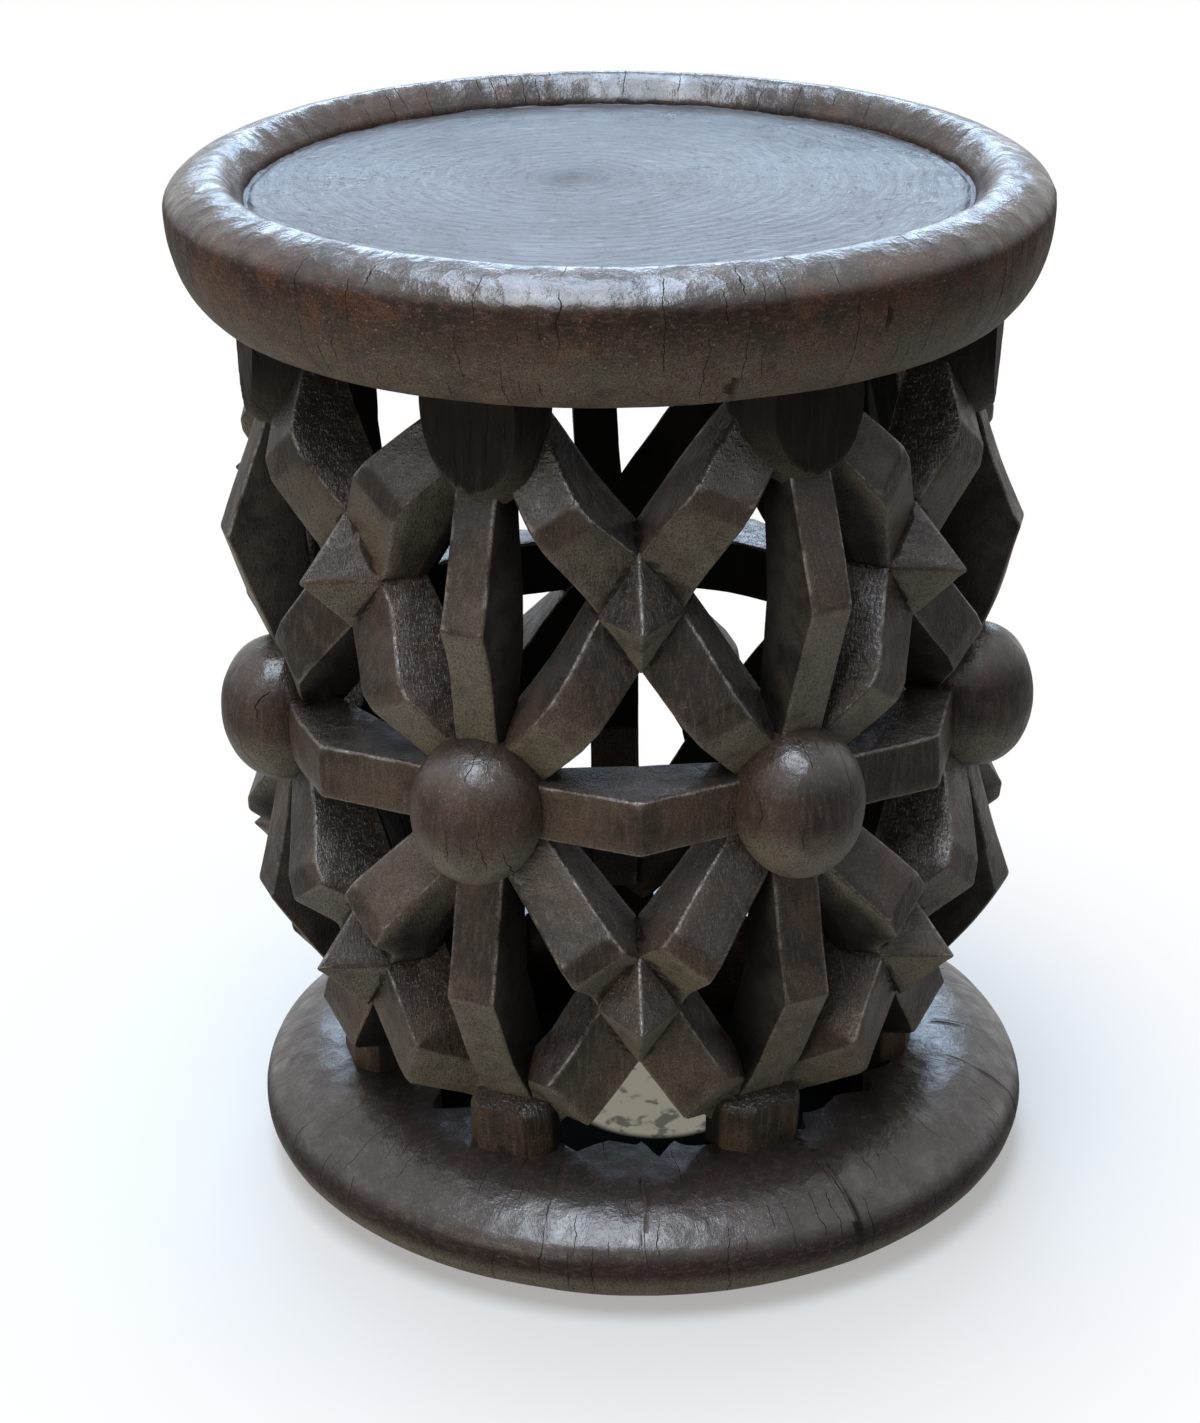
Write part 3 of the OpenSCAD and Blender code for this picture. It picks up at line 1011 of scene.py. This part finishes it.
def wood(
    name, *, dark, brown, red, dust_and_top_light_share, relief, roughness, specular, polish, coat_roughness,
    split=0.45, side_shade=0.0, shaded=0.0, along=(1.0, 1.0, 0.09), olive=0.75,
):
    """Stained and waxed hardwood: hatched where it faces up, painted olive bounce light where it faces
    down.

    Red is the share of reddish wear, the dusting share that of pale chisel marks and of a grey dusting
    that is partly painted light on the tops, relief how uneven it is and polish the coat on its crown.
    Split is the share of it with drying cracks. The side share paints shade on the sides that face away
    from the outside, darker deeper in, and shaded paints shade on what is close under the seat. Along
    squeezes the fibre on each axis, and olive is how much painted bounce light shows below.
    """
    material = bpy.data.materials.new(name)
    t = Tree(material)
    log = LogFrame(t)

    # Noises that several masks share
    fibre = t.noise(t.vector("MULTIPLY", log.place, along), fibre_scale, 3.0, 0.6)
    mottle = t.noise(log.place, mottle_scale, 4.0, 0.6)
    lumps = t.noise(log.place, lump_scale, 3.0, 0.6)
    grain = t.noise(log.place, grain_scale, 2.0, 0.6)
    cuts = t.node("ShaderNodeTexVoronoi", {"Vector": log.place, "Scale": cut_scale}).outputs["Distance"]

    # Masks, from 0 to 1
    blotches = t.ramp(t.noise(log.place, 34.0, 8.0, 0.85), 0.48, 0.60)
    patches = t.ramp(t.noise(log.place, 16.0, 5.0, 0.65), 0.40, 0.62)
    hatch_one = t.noise(t.vector("MULTIPLY", log.place, (1.0, 0.5, -0.2)), 1100.0, 2.0, 0.6)
    hatch_two = t.noise(t.vector("MULTIPLY", log.place, (0.25, 0.4, 1.0)), 900.0, 2.0, 0.6)
    hatch = t.times(t.ramp(hatch_one, 0.40, 0.70), t.ramp(hatch_two, 0.34, 0.68))
    specks = t.ramp(t.noise(log.place, 820.0, 2.0, 0.5), 0.70 - 0.1 * red, 0.78 - 0.1 * red)
    up = t.ramp(log.facing_up, 0.02, 0.55)
    crown = t.ramp(log.facing_up, 0.22, 0.80)
    # Painted olive bounce light on the sides that face down
    down = t.ramp(log.facing_up, -0.42, 0.02, 1.0, 0.0)
    down = t.times(down, t.ramp(mottle, 0.32, 0.58, 0.55, 1.0))
    # Grey dusting on the tops, partly painted light from above
    dust_and_top_light = t.times(t.times(up, t.ramp(mottle, 0.34, 0.62)), dust_and_top_light_share)
    # Edges lighter by wear, with a painted glint where they face up
    edge = t.times(t.ramp(log.curvature, 0.36, 0.95), t.ramp(log.facing_up, -0.25, 0.35, 0.35, 1.0))
    broken = t.times(t.ramp(mottle, 0.34, 0.60), t.ramp(lumps, 0.36, 0.52, 0.35, 1.0))
    rubbed_and_glint = t.times(edge, broken, clamp=True)
    cracks = hairline_cracks(t, log, split)
    # Cracks are real; the creases get painted shade
    crease = t.ramp(log.curvature, -0.55, -0.12, 1.0, 0.0)
    crack_and_crease_shade = t.calc("MAXIMUM", cracks, t.times(crease, 0.85))
    # Painted shade on the sides that face neither out nor up, darker deeper inside
    sideways = t.ramp(log.facing_out, 0.28, 0.52, side_shade, 0.0)
    inner = t.times(sideways, t.ramp(log.facing_up, 0.12, 0.42, 1.0, 0.0))
    near_front = t.times(t.ramp(log.radius, 0.140, 0.176), t.ramp(mottle, 0.3, 0.65))

    colour = t.layers(t.mix(patches, dark, brown), [
        (t.times(blotches, red), red_wear),
        (t.ramp(fibre, 0.46, 0.70, 0.0, 0.4), pale_fibre),
        (t.times(down, olive), olive_bounce_light),
        (t.times(dust_and_top_light, 0.5), grey_dust_and_top_light),
        (t.times(t.times(hatch, up), dust_and_top_light_share), chisel_mark),
        (t.times(rubbed_and_glint, 0.6), rubbed_edge_glint),
        (t.times(specks, 0.6), pale_speck),
        (inner, t.mix(near_front, crack_and_shade_black, shallow_shade)),
        (t.ramp(log.height, 0.35, 0.42, 0.0, shaded), seat_shade),
        (t.ramp(grain, 0.38, 0.56, 0.6, 0.0), dark_pore),
        (t.times(crack_and_crease_shade, 0.85), crack_and_shade_black),
    ])

    rough = t.plus(t.ramp(mottle, 0.3, 0.7, -0.05, 0.08), roughness)
    rough = t.plus(rough, t.times(dust_and_top_light, 0.08))
    rough = t.plus(rough, t.times(inner, 0.25))
    rough = t.minus(rough, t.times(rubbed_and_glint, 0.12))
    rough = t.plus(rough, t.times(crack_and_crease_shade, 0.3), clamp=True)
    coat = t.times(t.times(crown, polish), t.ramp(mottle, 0.28, 0.60, 1.0, 0.65))
    coat = t.calc("MAXIMUM", coat, t.times(rubbed_and_glint, up))
    coat = t.times(coat, t.minus(1.0, crack_and_crease_shade), clamp=True)

    height = t.times(fibre, fibre_depth)
    for field, depth in (
        (mottle, mottle_depth * relief),
        (lumps, lump_depth * relief),
        (cuts, cut_depth * relief),
        (hatch, hatch_depth * dust_and_top_light_share),
    ):
        height = t.plus(height, t.times(field, depth))
    bump = t.bump(t.minus(height, t.times(cracks, crack_depth)), 0.85)
    shader = t.node(
        "ShaderNodeBsdfPrincipled",
        {
            "Base Color": colour,
            "Roughness": rough,
            "Normal": bump,
            "Coat Normal": bump,
            "Coat Weight": coat,
            "Coat Roughness": coat_roughness,
            "Coat IOR": coat_ior,
            "Specular IOR Level": specular,
        },
    )
    t.node("ShaderNodeOutputMaterial", {"Surface": shader.outputs[0]})
    return material


def dish_wood(name):
    """Polished end grain: growth rings round a pith off the middle, and fine scratches; its grey-blue
    tone and scratches are partly painted sheen, and its groove has painted shade.
    """
    material = bpy.data.materials.new(name)
    t = Tree(material)
    place = t.node("ShaderNodeTexCoord").outputs["Object"]
    slow = {"Vector": place, "Scale": 14.0, "Detail": 3.0}
    wobble = t.node("ShaderNodeTexNoise", slow).outputs["Color"]
    bent = t.vector("ADD", place, t.vector("MULTIPLY", wobble, (0.02, 0.02, 0.0)))
    from_pith = t.vector("SUBTRACT", bent, (pith_x * MM, pith_y * MM, dish_z * MM))
    away = t.vector("LENGTH", from_pith)
    rings = t.calc("SINE", t.times(away, 2 * math.pi / (ring_step * MM)))

    # Strokes that run round the pith, and scores that slant across the whole dish
    toward = t.vector("NORMALIZE", from_pith)
    toward = t.node("ShaderNodeVectorMath", {0: toward, "Scale": 0.022}, operation="SCALE").outputs[0]
    round_pith = t.vector("ADD", toward, t.node("ShaderNodeCombineXYZ", {"Z": away}).outputs[0])
    strokes = t.noise(round_pith, 620.0, 4.0, 0.7)
    slant = {"Vector": bent, "Rotation": (0, 0, 0.35), "Scale": (0.1, 1, 1)}
    slanted = t.node("ShaderNodeMapping", slant).outputs[0]
    scores = t.ramp(t.noise(slanted, 420.0, 2.0, 0.5), 0.60, 0.70)
    scratches = t.plus(strokes, t.times(scores, 0.35), clamp=True)
    pits = t.ramp(t.noise(place, 260.0, 3.0, 0.65), 0.58, 0.72)
    mottle = t.noise(place, 24.0, 5.0, 0.6)
    curvature = t.node("ShaderNodeAttribute", attribute_name="curvature").outputs["Fac"]
    # Painted shade in the groove round the dish's edge
    groove = t.ramp(curvature, -0.5, -0.1, 1.0, 0.0)

    colour = t.layers(t.mix(t.ramp(mottle, 0.35, 0.66), dish_dark, dish_light_and_sheen), [
        (t.ramp(scratches, 0.48, 0.72, 0.0, 0.75), dish_scratch_and_sheen),
        (t.ramp(rings, 0.3, 1.0, 0.0, 0.35), dish_ring),
        (t.times(pits, 0.5), dish_dirt_and_shade),
        (t.times(groove, 0.7), dish_dirt_and_shade),
    ])
    rough = t.plus(t.ramp(mottle, 0.3, 0.7, 0.26, 0.42), t.times(pits, 0.15))
    height = t.plus(t.times(scratches, 0.0013), t.times(rings, 0.0002))
    height = t.minus(height, t.times(pits, 0.0004))
    height = t.plus(height, t.times(mottle, 0.0022))
    shader = t.node(
        "ShaderNodeBsdfPrincipled",
        {
            "Base Color": colour,
            "Roughness": rough,
            "Normal": t.bump(height, 0.9),
            "Specular IOR Level": 0.45,
        },
    )
    t.node("ShaderNodeOutputMaterial", {"Surface": shader.outputs[0]})
    return material


# The stool
def build_stool():
    noise.seed_set(seed)
    rng = random.Random(seed)
    rim_wood = wood(
        "rim_wood", dark=stain, brown=rgb(0.034, 0.017, 0.010), red=0.5, dust_and_top_light_share=0.1, relief=1.3,
        roughness=0.65, specular=0.08, polish=1.0, coat_roughness=0.26, along=round_the_log, olive=0.45,
    )
    base_wood = wood(
        "base_wood", dark=stain, brown=rgb(0.022, 0.014, 0.013), red=0.12, dust_and_top_light_share=0.15, relief=0.7,
        roughness=0.60, specular=0.08, polish=0.9, coat_roughness=0.31, along=round_the_log,
    )
    boss_wood = wood(
        "boss_wood", dark=stain, brown=rgb(0.044, 0.027, 0.018), red=0.2, dust_and_top_light_share=0.2, relief=1.3,
        roughness=0.50, specular=0.12, polish=0.9, coat_roughness=0.30,
    )
    # The half bosses under the seat get a darker copy of the wood, as painted shade
    shade_wood = wood(
        "shade_wood", dark=rgb(0.004, 0.003, 0.002), brown=rgb(0.012, 0.007, 0.005), red=0.05, dust_and_top_light_share=0.1,
        relief=0.8, roughness=0.6, specular=0.02, polish=0.0, coat_roughness=0.4, shaded=0.85,
    )
    bar_wood = wood(
        "bar_wood", dark=rgb(0.010, 0.007, 0.004), brown=rgb(0.055, 0.036, 0.022), red=0.10, dust_and_top_light_share=0.7,
        relief=1.3, roughness=0.5, specular=0.12, polish=0.8, coat_roughness=0.32,
        split=0.25, side_shade=1.0, shaded=0.6,
    )

    rim_cracks = random_cracks(rng, 9, first=20, last=48, deepest=0.5)
    rim = lathe(rim_section(), seat_x, rim_cracks)
    add_piece("rim", "seat_rim", rim, rim_wood, strays=False)
    add_piece("dish", "seat_floor", seat_floor(), dish_wood("dish_wood"), strays=False)
    base_cracks = random_cracks(rng, 10, first=6, last=42, deepest=0.5)
    base = lathe(base_section(), base_x, base_cracks, notched)
    add_piece("base", "base_ring", base, base_wood, strays=False)

    for i in range(1, columns + 1):
        for name, node, slot_name, parts, material in (
            ("half_egg", "upper_boss", "boss", upper_boss(i), shade_wood),
            ("egg", "middle_boss", "boss", middle_boss(i), boss_wood),
            ("block", "lower_boss", "block", block(i), bar_wood),
            ("high_post", "upper_post", "post", upper_post(rng, i), bar_wood),
            ("low_post", "lower_post", "post", lower_post(rng, i), bar_wood),
            ("belt_bar", "waist_bar", "bar", waist_bar(rng, i), bar_wood),
            ("high_cross", "upper_cross", "lattice", upper_cross(rng, i), bar_wood),
            ("low_cross", "lower_cross", "lattice", lower_cross(rng, i), bar_wood),
        ):
            add_piece(f"{name}_{i}", f"{node}_{i}", parts, material)


# Stage
def build_floor():
    """A pale floor with painted shadow inside the ring, except for a glowing painted sunlit patch that
    shows through the lattice.
    """
    half = 9.0
    corners = [(-half, -half, 0.0), (half, -half, 0.0), (half, half, 0.0), (-half, half, 0.0)]
    floor = mesh_object("floor", corners, [(0, 1, 2, 3)])
    material = bpy.data.materials.new("pale_floor")
    t = Tree(material)
    place = t.node("ShaderNodeTexCoord").outputs["Object"]

    def within(x, y, radius, edge):
        apart = t.vector("DISTANCE", place, (x * MM, y * MM, 0.0))
        return t.ramp(apart, (radius - edge) * MM, (radius + edge) * MM, 1.0, 0.0)

    # Inside the ring the floor is painted dark as shadow, and a patch there glows as painted sunlight
    inside = within(base_x, 0, inside_r, 4)
    patch = within(patch_x, patch_y, patch_r, 3)
    lit_patch_colour = t.mix(t.ramp(t.noise(place, 60.0, 3.0, 0.6), 0.52, 0.62), lit_patch_pale, lit_patch_dark)
    diffuse = t.node("ShaderNodeBsdfDiffuse", {"Color": t.mix(inside, floor_pale, painted_floor_shadow)})
    glow = t.node("ShaderNodeEmission", {"Color": t.mix(inside, white, lit_patch_colour), "Strength": 1.0})
    away = t.ramp(t.vector("LENGTH", place), shadow_full_r * MM, shadow_end_r * MM, shadow_white, 1.0)
    share = t.plus(t.times(away, t.minus(1.0, inside)), t.times(patch, inside))
    shaders = {0: t.times(t.seen(), share), 1: diffuse.outputs[0], 2: glow.outputs[0]}
    t.node("ShaderNodeOutputMaterial", {"Surface": t.node("ShaderNodeMixShader", shaders).outputs[0]})
    floor.data.materials.append(material)


def build_world():
    """White for the camera, and weak as light on the object."""
    world = bpy.data.worlds.new("studio")
    bpy.context.scene.world = world
    t = Tree(world)
    strength = t.node("ShaderNodeMapRange", {"Value": t.seen(), "To Min": world_light, "To Max": 1.0})
    background = t.node("ShaderNodeBackground", {"Color": white, "Strength": strength.outputs[0]})
    t.node("ShaderNodeOutputWorld", {"Surface": background.outputs[0]})


# Each lamp is (name, place, target, width, height, power, colour), in metres and watts
lamps = [
    ("key", (-0.3, -0.9, 2.1), (0, 0, 0.25), 1.0, 1.2, 37, (0.78, 0.88, 1.0)),
    ("overhead", (-0.15, 0.4, 2.3), (0, 0, 0.4), 1.0, 1.2, 37, (0.62, 0.78, 1.0)),
    ("back", (0.0, 2.6, 1.6), (0, 0, 0.4), 2.2, 0.6, 44, (0.54, 0.74, 1.0)),
    ("low_left", (-1.5, -2.0, 0.35), (0, 0, 0.2), 1.6, 0.6, 28, (1.0, 0.92, 0.78)),
]


def build_lights():
    for name, place, target, width, height, power, colour in lamps:
        lamp = bpy.data.lights.new(name, "AREA")
        lamp.shape = "RECTANGLE"
        lamp.size = width
        lamp.size_y = height
        lamp.energy = power
        lamp.color = colour
        made = bpy.data.objects.new(name, lamp)
        bpy.context.scene.collection.objects.link(made)
        made.location = place
        made.rotation_euler = (Vector(target) - Vector(place)).to_track_quat("-Z", "Y").to_euler()


def build_camera():
    """The camera that was fitted to the photograph's ellipses and rows."""
    eye = Vector((12.25, -1422.93, 846.43)) * MM
    target = Vector((-7.81, 0.0, 224.64)) * MM
    roll = -0.0069
    forward = (target - eye).normalized()
    level = forward.cross(Vector((0, 0, 1))).normalized()
    upright = level.cross(forward)
    right = math.cos(roll) * level + math.sin(roll) * upright
    up = -math.sin(roll) * level + math.cos(roll) * upright
    data = bpy.data.cameras.new("camera")
    data.sensor_width = 36.0
    data.lens = 81.41
    data.clip_start = 0.05
    data.clip_end = 60
    camera = bpy.data.objects.new("camera", data)
    bpy.context.scene.collection.objects.link(camera)
    turn = Matrix((right, up, -forward)).transposed().to_4x4()
    camera.matrix_world = Matrix.Translation(eye) @ turn
    bpy.context.scene.camera = camera


build_stool()
build_floor()
build_world()
build_lights()
build_camera()
bpy.context.scene.view_settings.view_transform = "Standard"
